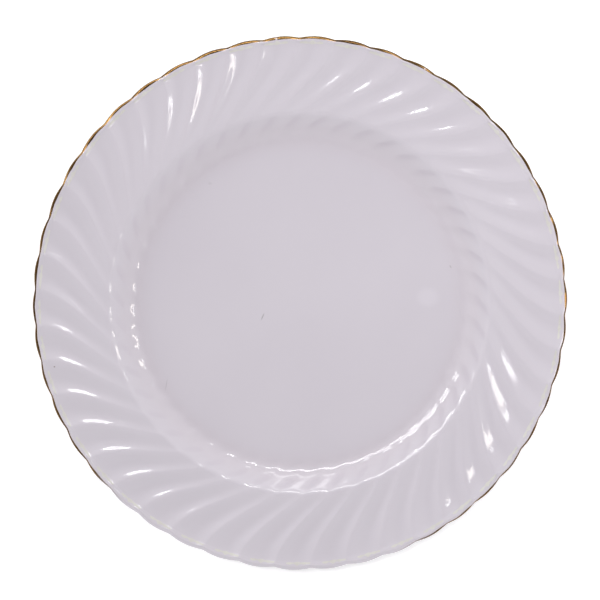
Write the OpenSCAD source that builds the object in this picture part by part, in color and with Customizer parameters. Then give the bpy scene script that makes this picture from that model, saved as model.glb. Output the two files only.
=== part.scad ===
// China dinner plate with a swirl-fluted rim, a lobed edge and a gilt line on the lip.
//
// The face is one height field: a flat well, a steep curved booge up to the shoulder, and a
// nearly level rim that flares up at the lip. Concave flutes are pressed into the rim. They start
// square to the lip and swing round as they run inwards, down the booge, and they die out at the
// edge of the well. The back of the rim follows the flutes more weakly, and the plate stands on a
// turned foot ring. Coats of glaze cover all but the edge of the foot, and gilding covers the lip.
//
// Origin: centre of the foot ring, on the surface that the plate stands on. +Z is up, and the
// face of the plate looks up.

/* [Plate] */
// Overall diameter, over the tips of the lobes
overall_d = 270; // [255:1:285]
// Diameter of the flat well
well_d = 161; // [158:1:166]
// Height of the well's face above the table
well_z = 6.4; // [6:0.1:8]

/* [Booge and rim] */
// Width of the cove, where the well turns up into the booge
cove_w = 9.8; // [6:0.2:11]
// Steepest rise of the booge for each millimetre outwards
booge_slope = 1.05; // [0.6:0.05:1.1]
// Diameter at which the booge starts to turn over into the shoulder
shoulder_d = 187.8; // [186:0.2:192]
// Width of the shoulder, where the booge turns over into the rim
shoulder_w = 3.6; // [3:0.2:8]
// Height that the rim climbs, ever more steeply, from the shoulder to the lip
rim_lift = 1.7; // [0:0.1:4]
// Further height that the lip flares up at its very edge
lip_flare_h = 0.8; // [0:0.1:1.5]
// Width of the flared lip
lip_flare_w = 8; // [6:0.5:10]

/* [Flutes] */
// Number of flutes round the rim
flute_count = 46; // [36:2:60]
// Depth of a flute where it is deepest
flute_depth = 1.85; // [0.5:0.05:3]
// Diameter at which the flutes are deepest
deepest_d = 244; // [236:1:255]
// Depth of a flute on the booge
booge_flute_depth = 0.4; // [0:0.05:0.5]
// Lean of the flutes: how far their steeper side crowds their deepest line
flute_lean = 0.34; // [0:0.01:0.5]
// Share of the flutes' depth that shows on the back
back_follow = 0.8; // [0:0.1:1]
// How far the lobes of the edge stand out from the notches between them
lobe_h = 1.1; // [0.5:0.1:1.5]
// Swing of a flute on its way from the lip to the cove, in degrees
swirl_angle = 20.4; // [0:0.2:30]
// Further swing of a flute across the cove, in degrees
cove_swing = 4; // [0:0.2:6]
// Direction of the middle of the first lobe, in degrees from +X
first_lobe = 1.2; // [0:0.1:7.8]

/* [Wall] */
// Thickness of the body under the well
well_t = 3; // [2.5:0.1:3.5]
// Thickness of the body at the lip, in the middle of a flute
lip_t = 1.7; // [1.4:0.1:3]
// How far in from the edge the rounding of the lip starts
lip_round_w = 1.8; // [1.6:0.1:2.2]

/* [Foot] */
// Outer diameter of the foot ring, where it joins the body
foot_d = 154; // [140:1:156]
// Width of the foot ring at its root
foot_root_w = 5; // [4:0.5:8]
// Width of the flat edge that the plate stands on
foot_edge_w = 1.4; // [1:0.1:2]
// Height of the bare, polished band on the foot, where the glaze is wiped off
foot_bare_h = 0.8; // [0.6:0.1:1.2]

/* [Coats] */
// Thickness of the glaze
glaze_t = 0.16; // [0.1:0.01:0.25]
// Thickness of the gilding
gilt_t = 0.06; // [0.04:0.01:0.1]
// Width of the gilt line at the tip of a lobe
gilt_tip_w = 1.5; // [1:0.05:1.6]
// Width of the gilt line in the notch between two lobes
gilt_notch_w = 0.9; // [0.5:0.05:1]

/* [Hidden] */

CHINA = [0.93, 0.91, 0.90];
BARE_FOOT = [0.88, 0.85, 0.80];
GLAZE = [0.88, 0.86, 0.91];
GILT = [0.72, 0.52, 0.20];

// Points for each flute in the surfaces that follow the flutes
FLUTE_STEPS = 4;
// Steps of the turned surfaces
TURNED_FN = 180;

edge_r = overall_d / 2;
well_r = well_d / 2;
shoulder_r = shoulder_d / 2;
deepest_r = deepest_d / 2;
cove_r = well_r + cove_w;
rim_r = shoulder_r + shoulder_w;
rim_w = edge_r - rim_r;
pitch = 360 / flute_count;
ring_points = flute_count * FLUTE_STEPS;

// Inside the coats, the body's edge and the height of its well
body_edge_r = edge_r - glaze_t - gilt_t;
body_well_z = well_z - glaze_t;
// Underside of the body, which the foot ring meets
base_z = body_well_z - well_t;
// Where the face coat, wrapped over the lip, meets the back coat
lap_r = edge_r - lobe_h - 3;

foot_r = foot_d / 2;
foot_mid_r = foot_r - foot_root_w / 2;
// Height over which the foot's flat edge rounds into its walls
foot_round_h = 0.4;

// ---- The face as a height field ------------------------------------------------------------

// Zero below a, a slope of 1 above b, and a slope that grows smoothly in between
function ramp(x, a, b) =
    let (t = (x - a) / (b - a))
    t <= 0 ? 0 : t >= 1 ? x - (a + b) / 2 : (b - a) * (pow(t, 3) - pow(t, 4) / 2);

// Height of the body's face before the flutes are pressed into it
function smooth_z(r) =
    body_well_z
    + booge_slope * (ramp(r, well_r, cove_r) - ramp(r, shoulder_r, rim_r))
    + rim_lift * pow(max(0, (r - rim_r) / rim_w), 2)
    + lip_flare_h * pow(max(0, (r - edge_r + lip_flare_w) / lip_flare_w), 2);

// Swing of the flutes at radius r: none at the lip, and growing with the square of the way in as
// far as the cove, which they cross on a nearly straight line
function swirl(r) =
    swirl_angle * pow((edge_r - max(r, cove_r)) / (edge_r - cove_r), 2)
    + cove_swing * max(0, cove_r - r) / cove_w;

// Section across a flute, from one ridge (u = 0) to the next (u = 1): 0 on them, and 1 on the
// deepest line, which the lean moves from half way towards the next ridge
function scoop(u) = let (f = u - floor(u)) sin(180 * (f - flute_lean * f * (1 - f)));

// Depth of the flutes at radius r. They are shallow on the booge, deepest well inside the lip,
// and somewhat shallower again at the lip.
function depth(r) =
    booge_flute_depth * min(1, (r - well_r) / (cove_w / 2))
    + (flute_depth - booge_flute_depth)
        * pow(sin(90 * max(0, r - shoulder_r) / (deepest_r - shoulder_r)), 2);

// Height of the body's face at radius r and flute position u
function face_z(r, u) = smooth_z(r) - depth(r) * scoop(u);

// Thickness of the body at radius r, down from the middle of a flute
function wall(r) = well_t + (lip_t - well_t) * ramp(r, well_r, edge_r) / ramp(edge_r, well_r, edge_r);

// Height of the body's back at radius r and flute position u
function back_z(r, u) =
    max(base_z, smooth_z(r) - depth(r) * (1 - back_follow + back_follow * scoop(u)) - wall(r));

// ---- Rings of points -----------------------------------------------------------------------
// A ring holds a point for each step of each flute. The lift of a ring is how far it lies
// outside the body's own surface: 0 on the body, glaze_t on the glaze.

function ring(radius, height, turn) = [
    for (i = [0 : ring_points - 1])
        let (u = i / FLUTE_STEPS, a = first_lobe + pitch * (u - 0.5) + turn, r = radius(u))
        [r * cos(a), r * sin(a), height(u)]
];

face_radii = [
    well_r,
    well_r + 0.5 * cove_w,
    cove_r,
    (shoulder_r + rim_r) / 2,
    rim_r + 0.15 * rim_w,
    rim_r + 0.42 * rim_w,
    rim_r + 0.72 * rim_w
];
back_radii = [lap_r, rim_r + 0.5 * rim_w, rim_r, cove_r, well_r + 0.4 * cove_w, well_r];

function face_rings(lift) = [
    for (r = face_radii) ring(function(u) r, function(u) face_z(r, u) + lift, swirl(r))
];

function back_rings(lift) = [
    for (r = back_radii) ring(function(u) r, function(u) back_z(r, u) - lift, swirl(r))
];

// Outline of a lobe of the edge, from one notch (u = 0) to the next: 0 in them, 1 on the tip
function lobe(u) = abs(sin(180 * u));

// Radius of the body's lobed edge at flute position u
function lobed_edge(u) = body_edge_r - lobe_h * (1 - lobe(u));

// Height of the lip's rounding at distance inset from the edge, as a share of half its height
function lip_bulge(inset) = sqrt(1 - pow(1 - inset / lip_round_w, 2));

// Ring on the lip at distance inset(u) from the edge. side is 1 above the edge and -1 below it.
function lip_ring(inset, side, lift) =
    ring(
        function(u) lobed_edge(u) - inset(u) + lift * (1 - inset(u) / lip_round_w),
        function(u)
            let (top = face_z(body_edge_r, u), bottom = back_z(body_edge_r, u))
            (top + bottom) / 2 + side * ((top - bottom) / 2 + lift) * lip_bulge(inset(u)),
        0
    );

function gilt_w(u) = gilt_notch_w + (gilt_tip_w - gilt_notch_w) * lobe(u);

// The part of the lip under the gilding: from the inner border, over the edge, to the back
function gilt_rings(lift) = [
    lip_ring(function(u) gilt_w(u), 1, lift),
    lip_ring(function(u) 0, 1, lift),
    lip_ring(function(u) gilt_notch_w, -1, lift)
];

function lip_rings(lift) = concat([lip_ring(function(u) lip_round_w, 1, lift)], gilt_rings(lift));

// ---- Solids from rings ---------------------------------------------------------------------

function joined(lists) = [for (list = lists) each list];

function reversed(list) = [for (i = [len(list) - 1 : -1 : 0]) list[i]];

// The two triangles at each step between ring k and the ring called next. A band that leads back
// along the inside of a coat is split along its other diagonal, which matches the outside.
function band(k, next, back) = [
    for (i = [0 : ring_points - 1])
        let (
            j = (i + 1) % ring_points,
            near = k * ring_points,
            far = next * ring_points
        ) each back
            ? [[near + i, near + j, far + i], [near + j, far + j, far + i]]
            : [[near + i, near + j, far + j], [near + i, far + j, far + i]]
];

// A solid skinned over rings that run from the middle of its top to the middle of its base. The
// rings from number back_from on lead back along its inside.
module capped_skin(rings, back_from) {
    last = len(rings) - 1;
    bands = [for (k = [0 : last - 1]) band(k, k + 1, k >= back_from)];
    top_cap = [for (i = [ring_points - 1 : -1 : 0]) i];
    base_cap = [for (i = [0 : ring_points - 1]) last * ring_points + i];
    polyhedron(points = joined(rings), faces = concat([top_cap], joined(bands), [base_cap]));
}

// A ring-shaped solid skinned over rings that run once round its section, the ones from number
// back_from on along its inside
module looped_skin(rings, back_from) {
    bands = [for (k = [0 : len(rings) - 1]) band(k, (k + 1) % len(rings), k >= back_from)];
    polyhedron(points = joined(rings), faces = joined(bands));
}

// ---- Sub-parts -----------------------------------------------------------------------------

// The fired bone-china body: well, booge, fluted rim and lip
module china_body() {
    rings = concat(face_rings(0), lip_rings(0), back_rings(0));
    color(CHINA)
        capped_skin(rings, len(rings));
}

// Radius of the foot's wall at height z, on its outer (side = 1) or inner (side = -1) face
function foot_wall(z, side) =
    let (
        low = foot_edge_w / 2 + foot_round_h,
        t = (z - foot_round_h) / (base_z - foot_round_h)
    ) foot_mid_r + side * (low + t * (foot_root_w / 2 - low));

// The turned foot, with a flat bearing edge
module foot_ring() {
    color(BARE_FOOT)
        rotate_extrude($fn = TURNED_FN)
            polygon([
                [foot_mid_r - foot_edge_w / 2, 0],
                [foot_mid_r + foot_edge_w / 2, 0],
                [foot_wall(foot_round_h, 1), foot_round_h],
                [foot_wall(base_z, 1), base_z],
                [foot_wall(base_z, -1), base_z],
                [foot_wall(foot_round_h, -1), foot_round_h]
            ]);
}

// The glaze on the face, wrapped over the lip
module face_glaze() {
    outer = concat(face_rings(glaze_t), lip_rings(glaze_t), [back_rings(glaze_t)[0]]);
    inner = concat(face_rings(0), lip_rings(0), [back_rings(0)[0]]);
    color(GLAZE)
        capped_skin(concat(outer, reversed(inner)), len(outer));
}

// Ring round the foot's outer wall at height z, with its flats clear of the turned wall
function foot_wall_ring(z, lift) =
    ring(function(u) foot_wall(z, 1) / cos(180 / ring_points) + lift, function(u) z, swirl(well_r));

// The glaze on the back, from the lap near the lip to the foot, and down the foot's outer wall
module back_glaze() {
    outer = concat(
        back_rings(glaze_t),
        [foot_wall_ring(base_z - glaze_t, glaze_t), foot_wall_ring(foot_bare_h, glaze_t)]
    );
    inner = concat(back_rings(0), [foot_wall_ring(base_z, 0), foot_wall_ring(foot_bare_h, 0)]);
    color(GLAZE)
        looped_skin(concat(outer, reversed(inner)), len(outer));
}

// The glaze inside the foot, and down the foot's inner wall
module foot_well_glaze() {
    root = foot_wall(base_z, -1);
    bare = foot_wall(foot_bare_h, -1);
    color(GLAZE)
        rotate_extrude($fn = TURNED_FN)
            polygon([
                [0, base_z - glaze_t],
                [foot_wall(base_z - glaze_t, -1) - glaze_t, base_z - glaze_t],
                [bare - glaze_t, foot_bare_h],
                [bare, foot_bare_h],
                [root, base_z],
                [0, base_z]
            ]);
}

// The gilding on the lip: broad on each lobe and narrow in each notch
module gilt_rim_line() {
    outer = gilt_rings(glaze_t + gilt_t);
    inner = gilt_rings(glaze_t);
    color(GILT)
        looped_skin(concat(outer, reversed(inner)), len(outer));
}

china_body();
foot_ring();
face_glaze();
back_glaze();
foot_well_glaze();
gilt_rim_line();
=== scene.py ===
"""The looks of a china dinner plate: smooth glazed china, gilt lip, bare foot, and the studio.

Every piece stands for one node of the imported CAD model. Its outer sizes come from the nodes'
boxes, and the shapes between them from the sizes of the design below. Lengths in the shape
functions are millimetres; meshes are made in metres, in the CAD's frame.
"""
import math

import bpy
import numpy as np
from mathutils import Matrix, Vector


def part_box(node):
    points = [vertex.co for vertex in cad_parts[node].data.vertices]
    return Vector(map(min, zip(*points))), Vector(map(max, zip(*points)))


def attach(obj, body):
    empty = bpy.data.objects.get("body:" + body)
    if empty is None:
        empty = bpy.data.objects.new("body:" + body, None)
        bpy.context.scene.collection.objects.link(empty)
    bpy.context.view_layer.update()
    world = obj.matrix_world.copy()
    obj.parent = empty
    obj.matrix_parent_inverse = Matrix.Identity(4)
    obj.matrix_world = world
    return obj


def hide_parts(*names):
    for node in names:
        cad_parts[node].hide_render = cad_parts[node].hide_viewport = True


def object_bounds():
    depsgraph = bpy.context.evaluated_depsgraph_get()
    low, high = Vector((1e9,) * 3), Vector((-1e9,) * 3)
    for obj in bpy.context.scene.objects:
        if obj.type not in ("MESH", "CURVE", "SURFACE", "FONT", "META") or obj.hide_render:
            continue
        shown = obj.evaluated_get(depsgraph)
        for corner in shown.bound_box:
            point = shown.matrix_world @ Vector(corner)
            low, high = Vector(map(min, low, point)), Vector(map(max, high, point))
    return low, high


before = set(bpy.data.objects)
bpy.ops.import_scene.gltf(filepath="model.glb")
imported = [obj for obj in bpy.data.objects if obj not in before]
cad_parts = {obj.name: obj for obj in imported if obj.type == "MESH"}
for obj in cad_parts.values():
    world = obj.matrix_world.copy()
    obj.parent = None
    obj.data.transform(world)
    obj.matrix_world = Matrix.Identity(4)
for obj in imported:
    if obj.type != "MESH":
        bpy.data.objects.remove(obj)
cad_low, cad_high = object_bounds()

MM = 0.001
BODY = "root"


def node_box(name):
    """Lowest and highest corner of a CAD node, in millimetres."""
    low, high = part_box(name)
    return low / MM, high / MM


# ---- Sizes taken from the frame ----------------------------------------------------------------

gilt_low, gilt_high = node_box("gilt_rim_line")
foot_high = node_box("foot_ring")[1]
foot_well_low = node_box("foot_well_glaze")[0]

# How far the smooth edge stays inside the faceted one
EDGE_CLEARANCE = 0.25
EDGE_R = min(gilt_high.x, gilt_high.y, -gilt_low.x, -gilt_low.y) - EDGE_CLEARANCE
BASE_Z = foot_high.z
FOOT_R = foot_high.x
FOOT_BARE_H = foot_well_low.z

# ---- Sizes of the design -----------------------------------------------------------------------

GLAZE_T = 0.16
GILT_T = 0.06
WELL_T = 3.0
LIP_T = 1.7
WELL_R = 80.5
COVE_W = 9.8
SHOULDER_R = 93.9
SHOULDER_W = 3.6
BOOGE_SLOPE = 1.05
RIM_LIFT = 1.7
LIP_FLARE_H = 0.8
LIP_FLARE_W = 8

FLUTES = 46
FLUTE_DEPTH = 1.85
BOOGE_FLUTE_DEPTH = 0.4
DEEPEST_R = 122
FLUTE_LEAN = 0.34
BACK_FOLLOW = 0.8
SWIRL_ANGLE = math.radians(20.4)
COVE_SWING = math.radians(4)
FIRST_LOBE = math.radians(1.2)
LOBE_H = 1.1
LIP_ROUND_W = 1.8
LAP_W = 3.0

FOOT_ROOT_W = 5.0
FOOT_EDGE_W = 1.4
FOOT_ROUND_H = 0.4

# The glaze's fillet where the foot meets the base: how far from the foot's wall it starts, its
# width and height, and the height under the base where the glaze lies flat on the wall
FOOT_FILLET_START = 1.6
FOOT_FILLET_W = 1.5
FOOT_FILLET_H = 1.0
FOOT_WALL_DROP = 1.2

GILT_TIP_W = 1.5
GILT_NOTCH_W = 0.9

# The ridges between the flutes are sharp at the lip and soft at the well
RIDGE_POWER = 1.3
RIDGE_ROUNDING_LIP = 0.05
RIDGE_ROUNDING_WELL = 0.22
NOTCH_ROUNDING = 0.11

# The hand of the maker: the flutes' spacing drifts a little round the plate, as a sum of waves
# with (waves round the plate, size, direction of the crest), the angles in degrees
SPACING_DRIFT = [(1, 0.91, -76), (2, 0.17, -67), (3, 0.22, 36)]

PITCH = 2 * math.pi / FLUTES
COVE_R = WELL_R + COVE_W
RIM_R = SHOULDER_R + SHOULDER_W
RIM_W = EDGE_R - RIM_R
BODY_EDGE_R = EDGE_R - GLAZE_T - GILT_T
BODY_WELL_Z = BASE_Z + WELL_T
LAP_R = EDGE_R - LOBE_H - LAP_W
FOOT_MID_R = FOOT_R - FOOT_ROOT_W / 2


# ---- The plate's surfaces ----------------------------------------------------------------------

def ramp(x, a, b):
    """Zero below a, a slope of 1 above b, and a slope that grows smoothly in between."""
    t = np.clip((x - a) / (b - a), 0, 1)
    return (b - a) * (t ** 3 - t ** 4 / 2) + np.maximum(x - b, 0)


def smooth_z(r):
    """Height of the body's face before the flutes are pressed into it."""
    booge = BOOGE_SLOPE * (ramp(r, WELL_R, COVE_R) - ramp(r, SHOULDER_R, RIM_R))
    rim = RIM_LIFT * np.maximum(0, (r - RIM_R) / RIM_W) ** 2
    flare = LIP_FLARE_H * np.maximum(0, (r - EDGE_R + LIP_FLARE_W) / LIP_FLARE_W) ** 2
    return BODY_WELL_Z + booge + rim + flare


def swirl(r):
    """Swing of the flutes at radius r, in radians: curved across the rim, straight in the cove."""
    rim = SWIRL_ANGLE * ((EDGE_R - np.maximum(r, COVE_R)) / (EDGE_R - COVE_R)) ** 2
    return rim + COVE_SWING * np.maximum(0, COVE_R - r) / COVE_W


def rounded(wave, soft):
    """A wave from 0 to 1 whose sharp turns at 0 are rounded over a share soft of its height."""
    return (np.sqrt(wave ** 2 + soft ** 2) - soft) / (np.sqrt(1 + soft ** 2) - soft)


def scoop(u, r):
    """Section across a flute: 0 on the rounded ridges (whole u) and 1 on the deepest line."""
    f = u - np.floor(u)
    section = np.sin(np.pi * (f - FLUTE_LEAN * f * (1 - f))) ** RIDGE_POWER
    outward = (r - WELL_R) / (EDGE_R - WELL_R)
    return rounded(section, RIDGE_ROUNDING_WELL + (RIDGE_ROUNDING_LIP - RIDGE_ROUNDING_WELL) * outward)


def lobe(u):
    """Outline of a lobe: 0 in the notches (whole u) and 1 on the tip."""
    return rounded(np.sin(np.pi * u), NOTCH_ROUNDING)


def depth(r):
    """Depth of the flutes at radius r: small on the booge, and deepest well inside the lip."""
    booge = np.clip((r - WELL_R) / (COVE_W / 2), 0, 1)
    rim = np.sin(np.pi / 2 * np.maximum(0, r - SHOULDER_R) / (DEEPEST_R - SHOULDER_R)) ** 2
    return BOOGE_FLUTE_DEPTH * booge + (FLUTE_DEPTH - BOOGE_FLUTE_DEPTH) * rim


def face_z(r, u):
    return smooth_z(r) - depth(r) * scoop(u, r)


def wall(r):
    return WELL_T + (LIP_T - WELL_T) * ramp(r, WELL_R, EDGE_R) / ramp(EDGE_R, WELL_R, EDGE_R)


def back_z(r, u):
    z = smooth_z(r) - depth(r) * (1 - BACK_FOLLOW + BACK_FOLLOW * scoop(u, r)) - wall(r)
    return np.maximum(BASE_Z, z)


def lobed_edge(u):
    return BODY_EDGE_R - LOBE_H * (1 - lobe(u))


# ---- Rings of points ---------------------------------------------------------------------------

def flute_positions(steps):
    """Flute positions of one ring: steps for each flute, crowded towards the ridges."""
    crowding = 0.7  # 0 spaces them evenly, and 1 stacks them on the ridge
    k = np.arange(FLUTES * steps) / steps
    return k - crowding * np.sin(2 * np.pi * k) / (2 * np.pi)


def angle_of(u, turn):
    """Direction of flute position u, with the maker's uneven spacing."""
    even = FIRST_LOBE + PITCH * (u - 0.5)
    drift = sum(size * np.cos(waves * (even - math.radians(crest))) for waves, size, crest in SPACING_DRIFT)
    return even + np.radians(drift) + turn


def ring(u, r, z, turn=0.0):
    a = angle_of(u, turn)
    return np.column_stack([r * np.cos(a), r * np.sin(a), z + 0 * a])


def lip_point(u, angle, lift):
    """Ring on the rounded lip: angle 90 is the top of the rounding, 0 the edge, -90 the back.

    The lip stands up as a slight bead: all of it is as high as the face is at its edge.
    """
    core_r = lobed_edge(u) - LIP_ROUND_W + LIP_ROUND_W * np.cos(angle)
    top = face_z(BODY_EDGE_R, u)
    bottom = back_z(BODY_EDGE_R, u)
    half = (top - bottom) / 2 + lift
    return ring(u, core_r + lift * np.cos(angle), (top + bottom) / 2 + half * np.sin(angle))


def face_rings(u, lift, radii):
    return [ring(u, r + 0 * u, face_z(r, u) + lift, swirl(r)) for r in radii]


def back_rings(u, lift, radii):
    return [ring(u, r + 0 * u, back_z(r, u) - lift, swirl(r)) for r in radii]


def face_radii(step):
    """Radii of the rings on the face: close on the booge, wider on the rim."""
    booge = np.linspace(WELL_R, RIM_R, max(4, round((RIM_R - WELL_R) / step)))
    last = EDGE_R - LOBE_H - LIP_ROUND_W - step
    rim = np.linspace(RIM_R, last, max(4, round((last - RIM_R) / (1.6 * step))))
    return np.concatenate([booge, rim[1:]])


def back_radii(step):
    return face_radii(step)[::-1]


# ---- Meshes from rings -------------------------------------------------------------------------

def piece_from(name, points, faces, replaced):
    """A mesh object in metres that stands for one CAD node."""
    mesh = bpy.data.meshes.new(name)
    mesh.from_pydata((points * MM).tolist(), [], faces)
    mesh.update()
    mesh.shade_smooth()
    mesh.set_sharp_from_angle(angle=math.radians(50))
    piece = bpy.data.objects.new(name, mesh)
    bpy.context.scene.collection.objects.link(piece)
    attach(piece, BODY)
    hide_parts(replaced)
    return piece


def bands(rings, closed):
    """Quads between neighbouring rings, which all have the same number of points."""
    n = len(rings[0])
    i = np.arange(n)
    j = (i + 1) % n
    faces = []
    for k in range(len(rings) if closed else len(rings) - 1):
        near = k * n
        far = ((k + 1) % len(rings)) * n
        faces += np.column_stack([near + i, far + i, far + j, near + j]).tolist()
    return faces


def disc(points, faces, rim_index, r_steps, z_of, upward):
    """Fills the inside of a ring with finer and finer rings of half as many points each."""
    outer = list(rim_index)
    for r in r_steps:
        half = len(outer) // 2
        base = points[outer[::2]]
        scale = r / np.hypot(base[:, 0], base[:, 1])
        inner_points = np.column_stack([base[:, 0] * scale, base[:, 1] * scale, np.full(half, z_of(r))])
        start = len(points)
        points = np.vstack([points, inner_points])
        inner = list(range(start, start + half))
        for k in range(half):
            a, b, c = outer[2 * k], outer[2 * k + 1], outer[(2 * k + 2) % len(outer)]
            p, q = inner[k], inner[(k + 1) % half]
            tris = [[a, b, p], [b, q, p], [b, c, q]]
            faces += tris if upward else [t[::-1] for t in tris]
        outer = inner
    faces.append(outer if upward else outer[::-1])
    return points, faces


def capped_piece(name, rings, replaced, disc_radii):
    """A solid whose first and last ring are each filled with a flat disc."""
    points = np.vstack(rings)
    faces = bands(rings, closed=False)
    n = len(rings[0])
    first = range(n)
    last = range(len(points) - n, len(points))
    top_z = rings[0][0][2]
    base_z = rings[-1][0][2]
    points, faces = disc(points, faces, first, disc_radii, lambda r: top_z, upward=True)
    points, faces = disc(points, faces, last, disc_radii, lambda r: base_z, upward=False)
    return piece_from(name, points, faces, replaced)


def looped_piece(name, rings, replaced):
    """A ring-shaped solid whose rings run once round its section."""
    return piece_from(name, np.vstack(rings), bands(rings, closed=True), replaced)


# ---- The pieces --------------------------------------------------------------------------------

# Fineness of the glaze and gilding, and of the body, which the glaze hides: points to a flute,
# distance between the rings, and rings on the lip
STEPS = 16
RING_STEP = 0.7
LIP_RINGS = 28
CORE_STEPS = 8
CORE_RING_STEP = 1.4
CORE_LIP_RINGS = 9
FOOT_POINTS = 360
FOOT_WELL_POINTS = 368  # a multiple of 8, because the discs halve the ring three times
DISC_RADII = [70, 52, 30]
FOOT_DISC_RADII = [60, 45, 30]


def lip_rings(u, lift, steps):
    """Rings round the lip, from its top to its back."""
    angles = np.radians(np.linspace(90, -80, steps))
    return [lip_point(u, a, lift) for a in angles]


def make_china_body():
    u = flute_positions(CORE_STEPS)
    rings = (
        face_rings(u, 0, face_radii(CORE_RING_STEP))
        + lip_rings(u, 0, CORE_LIP_RINGS)
        + back_rings(u, 0, np.append(LAP_R, back_radii(CORE_RING_STEP)))
    )
    return capped_piece("china_core", rings, "china_body", DISC_RADII)


def make_face_glaze():
    u = flute_positions(STEPS)
    outer = face_rings(u, GLAZE_T, face_radii(RING_STEP)) + lip_rings(u, GLAZE_T, LIP_RINGS)
    inner = face_rings(u, 0, face_radii(CORE_RING_STEP)) + lip_rings(u, 0, CORE_LIP_RINGS)
    outer += back_rings(u, GLAZE_T, [LAP_R])
    inner += back_rings(u, 0, [LAP_R])
    return capped_piece("glaze_on_face", outer + inner[::-1], "face_glaze", DISC_RADII)


def foot_wall(z, side):
    """Radius of the foot's outer (side 1) or inner (side -1) wall at height z."""
    t = (z - FOOT_ROUND_H) / (BASE_Z - FOOT_ROUND_H)
    spread = FOOT_ROOT_W / 2 - FOOT_EDGE_W / 2 - FOOT_ROUND_H
    return FOOT_MID_R + side * (FOOT_EDGE_W / 2 + FOOT_ROUND_H + t * spread)


def foot_glaze(side):
    """Outline of the glaze's skin from the base, round the fillet and down the foot's wall."""
    root = foot_wall(BASE_Z, side)
    fillet = [
        (
            root + side * (FOOT_FILLET_START - FOOT_FILLET_W * math.sin(t)),
            BASE_Z - GLAZE_T - FOOT_FILLET_H * (1 - math.cos(t)),
        )
        for t in np.radians([0, 25, 50, 75])
    ]
    down = [
        (foot_wall(z, side) + side * GLAZE_T, z)
        for z in np.linspace(BASE_Z - FOOT_WALL_DROP, FOOT_BARE_H, 5)
    ]
    return fillet + down


def turned_rings(count, outline):
    """Rings of an outline of (radius, height) points turned round the axis."""
    a = np.arange(count) * 2 * math.pi / count
    return [np.column_stack([r * np.cos(a), r * np.sin(a), z + 0 * a]) for r, z in outline]


def make_back_glaze():
    u = flute_positions(STEPS)
    turn = swirl(WELL_R)
    radii = np.append(LAP_R, back_radii(RING_STEP))
    core_radii = np.append(LAP_R, back_radii(CORE_RING_STEP))
    outer = back_rings(u, GLAZE_T, radii)
    outer += [ring(u, r + 0 * u, z, turn) for r, z in foot_glaze(1)]
    inner = back_rings(u, 0, core_radii)
    inner += [ring(u, foot_wall(z, 1) + 0 * u, z, turn) for z in (BASE_Z, FOOT_BARE_H)]
    return looped_piece("glaze_on_back", outer + inner[::-1], "back_glaze")


def make_foot_ring():
    arc = np.radians(np.linspace(0, 90, 7))
    half = FOOT_EDGE_W / 2
    right = [
        (FOOT_MID_R + half + FOOT_ROUND_H * math.sin(t), FOOT_ROUND_H * (1 - math.cos(t)))
        for t in arc
    ]
    left = [(2 * FOOT_MID_R - r, z) for r, z in right]
    walls = [(foot_wall(BASE_Z, 1), BASE_Z), (foot_wall(BASE_Z, -1), BASE_Z)]
    outline = [left[0]] + right + walls + left[:0:-1]
    rings = turned_rings(FOOT_POINTS, outline)[::-1]
    return looped_piece("bare_foot_ring", rings, "foot_ring")


def make_foot_well_glaze():
    on_foot = [(foot_wall(z, -1), z) for z in (BASE_Z, FOOT_BARE_H)]
    rings = turned_rings(FOOT_WELL_POINTS, on_foot + foot_glaze(-1)[::-1])
    return capped_piece("glaze_in_foot", rings, "foot_well_glaze", FOOT_DISC_RADII)


# The brush wavered, as a sum of waves with (waves round the plate, width, phase in radians), and
# was fullest in one direction and emptiest opposite it
GILT_WANDER = [(23, 0.09, 1.3), (61, 0.07, 0.0), (97, 0.05, 0.4)]
GILT_FULLEST = math.radians(105)
GILT_LOAD_SWING = 0.24

GILT_RINGS = 24
GILT_BACK_END = math.radians(-55)
GILT_LEAST_RISE = 0.4
GILT_SINK = 0.02


def gilt_width(u):
    """Width of the gilt line, brushed on by hand: broadest on the lobes at the top."""
    around = angle_of(u, 0)
    wander = sum(width * np.sin(waves * around + phase) for waves, width, phase in GILT_WANDER)
    load = 1 - GILT_LOAD_SWING + GILT_LOAD_SWING * np.cos(around - GILT_FULLEST)
    return (GILT_NOTCH_W + (GILT_TIP_W - GILT_NOTCH_W) * lobe(u)) * load + wander


def make_gilt_line():
    """A thin crowned film over the lip, whose inner side is sunk a little into the glaze."""
    u = flute_positions(STEPS)
    border = np.arccos(1 - gilt_width(u) / LIP_ROUND_W)
    steps = np.linspace(0, 1, GILT_RINGS)
    angles = [border + (GILT_BACK_END - border) * t for t in steps]
    crown = [max(GILT_LEAST_RISE, math.sin(math.pi * t) ** 0.5) for t in steps]
    lifts = [GLAZE_T + GILT_T * rise for rise in crown]
    outer = [lip_point(u, angle, lift) for angle, lift in zip(angles, lifts)]
    inner = [lip_point(u, angle, GLAZE_T - GILT_SINK) for angle in angles[::2] + [angles[-1]]]
    return looped_piece("gilt_line", outer + inner[::-1], "gilt_rim_line")


# ---- Materials ---------------------------------------------------------------------------------

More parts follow.
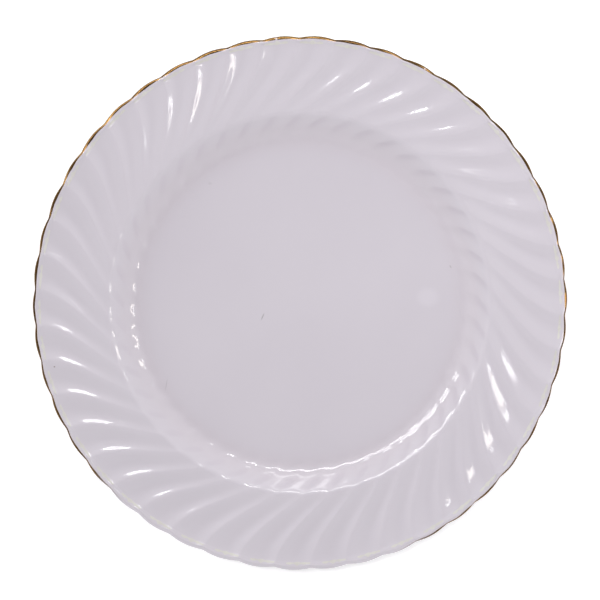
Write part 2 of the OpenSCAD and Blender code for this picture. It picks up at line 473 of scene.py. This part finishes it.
class Nodes:
    """A short way to build a node material."""

    def __init__(self, name):
        self.material = bpy.data.materials.new(name)
        self.material.use_nodes = True
        self.tree = self.material.node_tree
        self.tree.nodes.clear()
        self.output = self.tree.nodes.new("ShaderNodeOutputMaterial")
        self.shader = self.tree.nodes.new("ShaderNodeBsdfPrincipled")
        self.link(self.shader.outputs[0], self.output.inputs["Surface"])
        self.place = self.tree.nodes.new("ShaderNodeTexCoord").outputs["Object"]

    def link(self, a, b):
        self.tree.links.new(a, b)

    def set(self, socket, value):
        if isinstance(value, bpy.types.NodeSocket):
            self.link(value, socket)
        else:
            socket.default_value = value

    def shade(self, **values):
        for name, value in values.items():
            self.set(self.shader.inputs[name.replace("_", " ")], value)

    def math(self, operation, a, b=0.0, c=0.0):
        node = self.tree.nodes.new("ShaderNodeMath")
        node.operation = operation
        for socket, value in zip(node.inputs, (a, b, c)):
            self.set(socket, value)
        return node.outputs[0]

    def noise(self, scale, detail, roughness=0.5):
        node = self.tree.nodes.new("ShaderNodeTexNoise")
        self.set(node.inputs["Vector"], self.place)
        self.set(node.inputs["Scale"], scale)
        self.set(node.inputs["Detail"], detail)
        self.set(node.inputs["Roughness"], roughness)
        return node.outputs["Fac"]

    def specks(self, scale, radius):
        """1 inside small round specks scattered one to a cell, and 0 outside them."""
        node = self.tree.nodes.new("ShaderNodeTexVoronoi")
        self.set(node.inputs["Vector"], self.place)
        self.set(node.inputs["Scale"], scale)
        return self.window(node.outputs["Distance"], radius, radius * 0.4)

    def window(self, value, edge, soft):
        """1 where the value is below edge - soft, 0 where it is above edge + soft."""
        node = self.tree.nodes.new("ShaderNodeMapRange")
        node.interpolation_type = "SMOOTHSTEP"
        self.set(node.inputs["Value"], value)
        self.set(node.inputs["From Min"], edge - soft)
        self.set(node.inputs["From Max"], edge + soft)
        self.set(node.inputs["To Min"], 1.0)
        self.set(node.inputs["To Max"], 0.0)
        return node.outputs[0]

    def spread(self, value, low, high, start=0.0, end=1.0):
        """Carries the value from the span start..end to the span low..high."""
        node = self.tree.nodes.new("ShaderNodeMapRange")
        self.set(node.inputs["Value"], value)
        self.set(node.inputs["From Min"], start)
        self.set(node.inputs["From Max"], end)
        self.set(node.inputs["To Min"], low)
        self.set(node.inputs["To Max"], high)
        return node.outputs[0]

    def mix(self, share, a, b):
        """Colour a where the share is 0, and b where it is 1."""
        node = self.tree.nodes.new("ShaderNodeMix")
        node.data_type = "RGBA"
        self.set(node.inputs[0], share)
        self.set(node.inputs[6], a)
        self.set(node.inputs[7], b)
        return node.outputs[2]

    def from_axis(self):
        """Distance from the plate's axis, in metres."""
        flat = self.tree.nodes.new("ShaderNodeVectorMath")
        flat.operation = "MULTIPLY"
        self.set(flat.inputs[0], self.place)
        self.set(flat.inputs[1], (1, 1, 0))
        return self.length(flat.outputs[0])

    def length(self, vector):
        node = self.tree.nodes.new("ShaderNodeVectorMath")
        node.operation = "LENGTH"
        self.link(vector, node.inputs[0])
        return node.outputs["Value"]

    def cove(self):
        """1 in the cove, where the glaze pools, and 0 away from it."""
        off = self.math("ABSOLUTE", self.math("SUBTRACT", self.from_axis(), (WELL_R + COVE_W / 2) * MM))
        return self.window(off, COVE_W * 0.6 * MM, COVE_W * 0.4 * MM)

    def mark(self, x, y, length, width, direction):
        """1 inside an oval spot on the face, and 0 outside it. Its sizes are in millimetres."""
        node = self.tree.nodes.new("ShaderNodeMapping")
        node.vector_type = "TEXTURE"
        self.set(node.inputs["Vector"], self.place)
        self.set(node.inputs["Location"], (x * MM, y * MM, 0))
        self.set(node.inputs["Rotation"], (0, 0, math.radians(direction)))
        self.set(node.inputs["Scale"], (length / 2 * MM, width / 2 * MM, 1))
        flat = self.tree.nodes.new("ShaderNodeVectorMath")
        flat.operation = "MULTIPLY"
        self.link(node.outputs[0], flat.inputs[0])
        self.set(flat.inputs[1], (1, 1, 0))
        return self.window(self.length(flat.outputs[0]), 0.8, 0.4)

    def bump(self, height, distance, onto=None):
        node = self.tree.nodes.new("ShaderNodeBump")
        self.set(node.inputs["Height"], height)
        self.set(node.inputs["Distance"], distance)
        self.set(node.inputs["Strength"], 1.0)
        if onto is not None:
            self.link(onto, node.inputs["Normal"])
        return node.outputs[0]


CHINA_COLOUR = (0.62, 0.58, 0.635, 1)
CLOUD_COLOUR = (0.605, 0.565, 0.62, 1)
POOLED_COLOUR = (0.605, 0.55, 0.60, 1)
SPECK_COLOUR = (0.16, 0.11, 0.08, 1)
SOIL_COLOUR = (0.25, 0.23, 0.24, 1)
# Colour of a pale patch of painted light on the well
PAINTED_LIGHT_COLOUR = (0.70, 0.66, 0.72, 1)

# Small marks on the face, and one pale patch of painted light: (x, y, length, width, direction in
# degrees, strength, colour), the lengths in millimetres
MARKS_AND_PAINTED_LIGHT = [
    (-19.1, -7.1, 4.4, 0.7, 66, 0.55, SOIL_COLOUR),
    (76.9, 18.5, 2.0, 0.8, 120, 0.35, SOIL_COLOUR),
    (-68.3, -41.8, 6.5, 0.6, 80, 0.25, SOIL_COLOUR),
    (-123.6, -32.2, 0.9, 0.7, 0, 0.8, SPECK_COLOUR),
    # The next one was made up by mistake: the real plate has no mark there
    (-46.0, 61.0, 2.4, 1.6, 0, 0.12, SOIL_COLOUR),
    # A pale patch of painted light on the well, not a mark in the glaze
    (65.3, 2.9, 13, 11, 0, 0.35, PAINTED_LIGHT_COLOUR),
]


def glazed_china(name, marks_and_painted_light=()):
    """Lavender-white china under a clear glaze, with faint clouding, specks and orange peel, and any given
    marks and painted light.
    """
    n = Nodes(name)
    cloud = n.spread(n.noise(14, 4), 0, 1, 0.35, 0.65)
    colour = n.mix(cloud, CHINA_COLOUR, CLOUD_COLOUR)
    colour = n.mix(n.math("MULTIPLY", n.cove(), 0.4), colour, POOLED_COLOUR)
    specks = n.math("MULTIPLY", n.specks(90, 0.022), n.window(n.noise(31, 1), 0.40, 0.02))
    colour = n.mix(n.math("MULTIPLY", specks, 0.7), colour, SPECK_COLOUR)
    # The marks, and the pale patch of painted light, are laid into the base colour
    for x, y, length, width, direction, strength, spot_colour in marks_and_painted_light:
        mark = n.math("MULTIPLY", n.mark(x, y, length, width, direction), strength)
        colour = n.mix(mark, colour, spot_colour)
    wipes = n.noise(45, 5, 0.6)
    n.shade(
        Base_Color=colour,
        Roughness=n.spread(wipes, 0.05, 0.11, 0.3, 0.7),
        IOR=1.6,
    )
    ripple = n.bump(n.noise(70, 2, 0.4), 0.00006)
    peel = n.bump(n.noise(420, 2, 0.5), 0.000004, onto=ripple)
    n.shade(Normal=peel)
    return n.material


def biscuit(name, colour, dark, roughness):
    """Bare fired china: matt and faintly grained, with soil rubbed into the grain."""
    n = Nodes(name)
    grain = n.noise(900, 4, 0.65)
    soil = n.spread(n.noise(120, 5, 0.7), 0, 1, 0.45, 0.7)
    n.shade(
        Base_Color=n.mix(soil, colour, dark),
        Roughness=n.spread(grain, roughness - 0.08, roughness + 0.1, 0.3, 0.7),
        IOR=1.5,
        Normal=n.bump(grain, 0.00003),
    )
    return n.material


# The gold is darkened throughout with painted shade for the dark surroundings it mirrors; the soiled
# patches are darker still
SHADED_GOLD = (0.19, 0.105, 0.033, 1)
SOILED_SHADED_GOLD = (0.10, 0.052, 0.018, 1)
# The gilding is rubbed off round this direction, and as far to both sides of it
WORN_MIDDLE = math.radians(-100)
WORN_SIDE = math.radians(36)


def gilding(name):
    """Burnished gold on the lip, darkened throughout with painted shade, soiled with age in patches and
    rubbed through to the glaze in places.
    """
    n = Nodes(name)
    split = n.tree.nodes.new("ShaderNodeSeparateXYZ")
    n.link(n.place, split.inputs[0])
    around = n.math("ARCTAN2", split.outputs[1], split.outputs[0])
    turned = n.math("WRAP", n.math("SUBTRACT", around, WORN_MIDDLE), math.pi, -math.pi)
    off = n.math("ABSOLUTE", turned)
    fine = n.noise(260, 5, 0.7)
    patches = n.noise(55, 3, 0.6)
    uneven = n.math("ADD", n.math("MULTIPLY", fine, 0.5), n.math("MULTIPLY", patches, 0.5))
    in_arc = n.window(off, WORN_SIDE, math.radians(6))
    worn_arc = n.math("MULTIPLY", in_arc, n.window(fine, 0.74, 0.06))
    bare = n.math("MAXIMUM", n.window(uneven, 0.36, 0.03), worn_arc)
    # Gold darkened with painted shade, with soiled patches darker still
    gold = n.mix(n.spread(patches, 0, 1, 0.35, 0.65), SHADED_GOLD, SOILED_SHADED_GOLD)
    n.shade(
        Base_Color=n.mix(bare, gold, CHINA_COLOUR),
        Metallic=n.math("SUBTRACT", 1.0, bare),
        Roughness=n.spread(bare, 0.16, 0.1),
        IOR=1.6,
        Normal=n.bump(fine, 0.00002),
    )
    return n.material


def dress(piece, material):
    piece.data.materials.clear()
    piece.data.materials.append(material)


# ---- The studio --------------------------------------------------------------------------------

PLATE_TOP = cad_high.z


def make_floor():
    mesh = bpy.data.meshes.new("floor")
    half = 3.0
    corners = [(-half, -half, 0), (half, -half, 0), (half, half, 0), (-half, half, 0)]
    mesh.from_pydata(corners, [], [(0, 1, 2, 3)])
    floor = bpy.data.objects.new("floor", mesh)
    floor.location.z = cad_low.z
    bpy.context.scene.collection.objects.link(floor)
    n = Nodes("pale_floor")
    n.shade(
        Base_Color=(0.9, 0.9, 0.9, 1),
        Roughness=0.8,
        Emission_Color=(1, 1, 1, 1),
        Emission_Strength=0.35,
    )
    floor.data.materials.append(n.material)


def aim(thing, target):
    thing.rotation_euler = (target - thing.location).to_track_quat("-Z", "Y").to_euler()


def softbox(name, azimuth, tilt, distance, width, height, radiance, roll=0.0, colour=(1, 1, 1)):
    """A rectangular lamp that faces the plate from tilt degrees off the vertical."""
    light = bpy.data.lights.new(name, "AREA")
    light.shape = "RECTANGLE"
    light.size = width
    light.size_y = height
    light.energy = radiance * math.pi * width * height
    light.color = colour
    lamp = bpy.data.objects.new(name, light)
    a = math.radians(azimuth)
    t = math.radians(tilt)
    centre = Vector((0, 0, PLATE_TOP))
    direction = Vector((math.sin(t) * math.cos(a), math.sin(t) * math.sin(a), math.cos(t)))
    lamp.location = centre + distance * direction
    aim(lamp, centre)
    lamp.rotation_euler.rotate_axis("Z", math.radians(roll))
    bpy.context.scene.collection.objects.link(lamp)
    return lamp


def reflected(*place, **how):
    """A softbox that shows only in the glaze and the gilding, like a small bright window."""
    softbox(*place, **how).visible_diffuse = False


def matt(*place, **how):
    """A softbox that lights the china without showing in its glaze."""
    softbox(*place, **how).visible_glossy = False


CREAM = (1.0, 0.95, 0.86)


def make_lights():
    reflected("top_strip", 101, 48, 1.3, 1.08, 0.18, 5)
    reflected("top_strip_upper_edge", 101, 44.6, 1.3, 1.1, 0.03, 16)
    reflected("top_strip_lower_edge", 101, 51.6, 1.3, 1.1, 0.03, 16)
    reflected("left_panel", 136, 68, 1.3, 0.62, 0.24, 4, roll=-10)
    reflected("left_panel_upper_edge", 136, 62, 1.3, 0.72, 0.05, 12, roll=-10)
    reflected("left_panel_lower_edge", 136, 74, 1.3, 0.72, 0.05, 12, roll=-10)
    reflected("right_strip", 8, 52, 1.1, 0.09, 0.66, 8, roll=16, colour=CREAM)
    reflected("right_panel", 14, 45, 1.1, 0.07, 0.24, 8, roll=16)
    reflected("low_right_glint", 2, 33, 1.1, 0.06, 0.06, 8)
    reflected("far_right_glint", 66, 41, 1.1, 0.05, 0.08, 3)
    reflected("far_strip", 88, 79, 1.3, 0.5, 0.1, 3)
    matt("overhead_fill", 20, 27, 0.48, 0.2, 0.2, 5.0)
    matt("side_fill", 160, 62, 1.3, 0.4, 0.4, 1.8)
    matt("key", 140, 13, 1.5, 0.12, 0.12, 110)
    matt("top_fill", 110, 55, 1.3, 0.6, 0.6, 1.5)


# Radiance of the studio's walls at the level of the plate, and of its ceiling
HORIZON_RADIANCE = 1.04
OVERHEAD_RADIANCE = 0.1


def make_world():
    """Pale walls and a dimmer ceiling."""
    world = bpy.data.worlds.new("studio")
    world.use_nodes = True
    tree = world.node_tree
    background = tree.nodes["Background"]
    background.inputs["Color"].default_value = (1, 1, 1, 1)
    direction = tree.nodes.new("ShaderNodeTexCoord")
    split = tree.nodes.new("ShaderNodeSeparateXYZ")
    tree.links.new(direction.outputs["Generated"], split.inputs[0])
    squared = tree.nodes.new("ShaderNodeMath")
    squared.operation = "MULTIPLY"
    tree.links.new(split.outputs["Z"], squared.inputs[0])
    tree.links.new(split.outputs["Z"], squared.inputs[1])
    strength = tree.nodes.new("ShaderNodeMath")
    strength.operation = "MULTIPLY_ADD"
    tree.links.new(squared.outputs[0], strength.inputs[0])
    strength.inputs[1].default_value = OVERHEAD_RADIANCE - HORIZON_RADIANCE
    strength.inputs[2].default_value = HORIZON_RADIANCE
    tree.links.new(strength.outputs[0], background.inputs["Strength"])
    bpy.context.scene.world = world


def make_camera():
    """Straight above the plate, as in the photograph, with the plate just below the middle."""
    distance = 0.75
    view_width = 0.3013
    below_middle = 0.00143
    data = bpy.data.cameras.new("camera")
    data.sensor_width = 36
    data.lens = data.sensor_width * distance / view_width
    camera = bpy.data.objects.new("camera", data)
    camera.location = (0, below_middle, PLATE_TOP + distance)
    bpy.context.scene.collection.objects.link(camera)
    bpy.context.scene.camera = camera


# ---- Build -------------------------------------------------------------------------------------

def main():
    dress(make_china_body(), biscuit("china_biscuit", (0.62, 0.6, 0.57, 1), (0.55, 0.52, 0.5, 1), 0.6))
    dress(make_face_glaze(), glazed_china("glazed_china_face", MARKS_AND_PAINTED_LIGHT))
    dress(make_back_glaze(), glazed_china("glazed_china_back"))
    dress(make_foot_well_glaze(), glazed_china("glazed_china_foot_well"))
    dress(make_foot_ring(), biscuit("bare_china", (0.60, 0.57, 0.52, 1), (0.36, 0.33, 0.29, 1), 0.7))
    dress(make_gilt_line(), gilding("rubbed_gilding"))
    make_floor()
    make_lights()
    make_world()
    make_camera()
    bpy.context.scene.view_settings.view_transform = "Standard"


main()
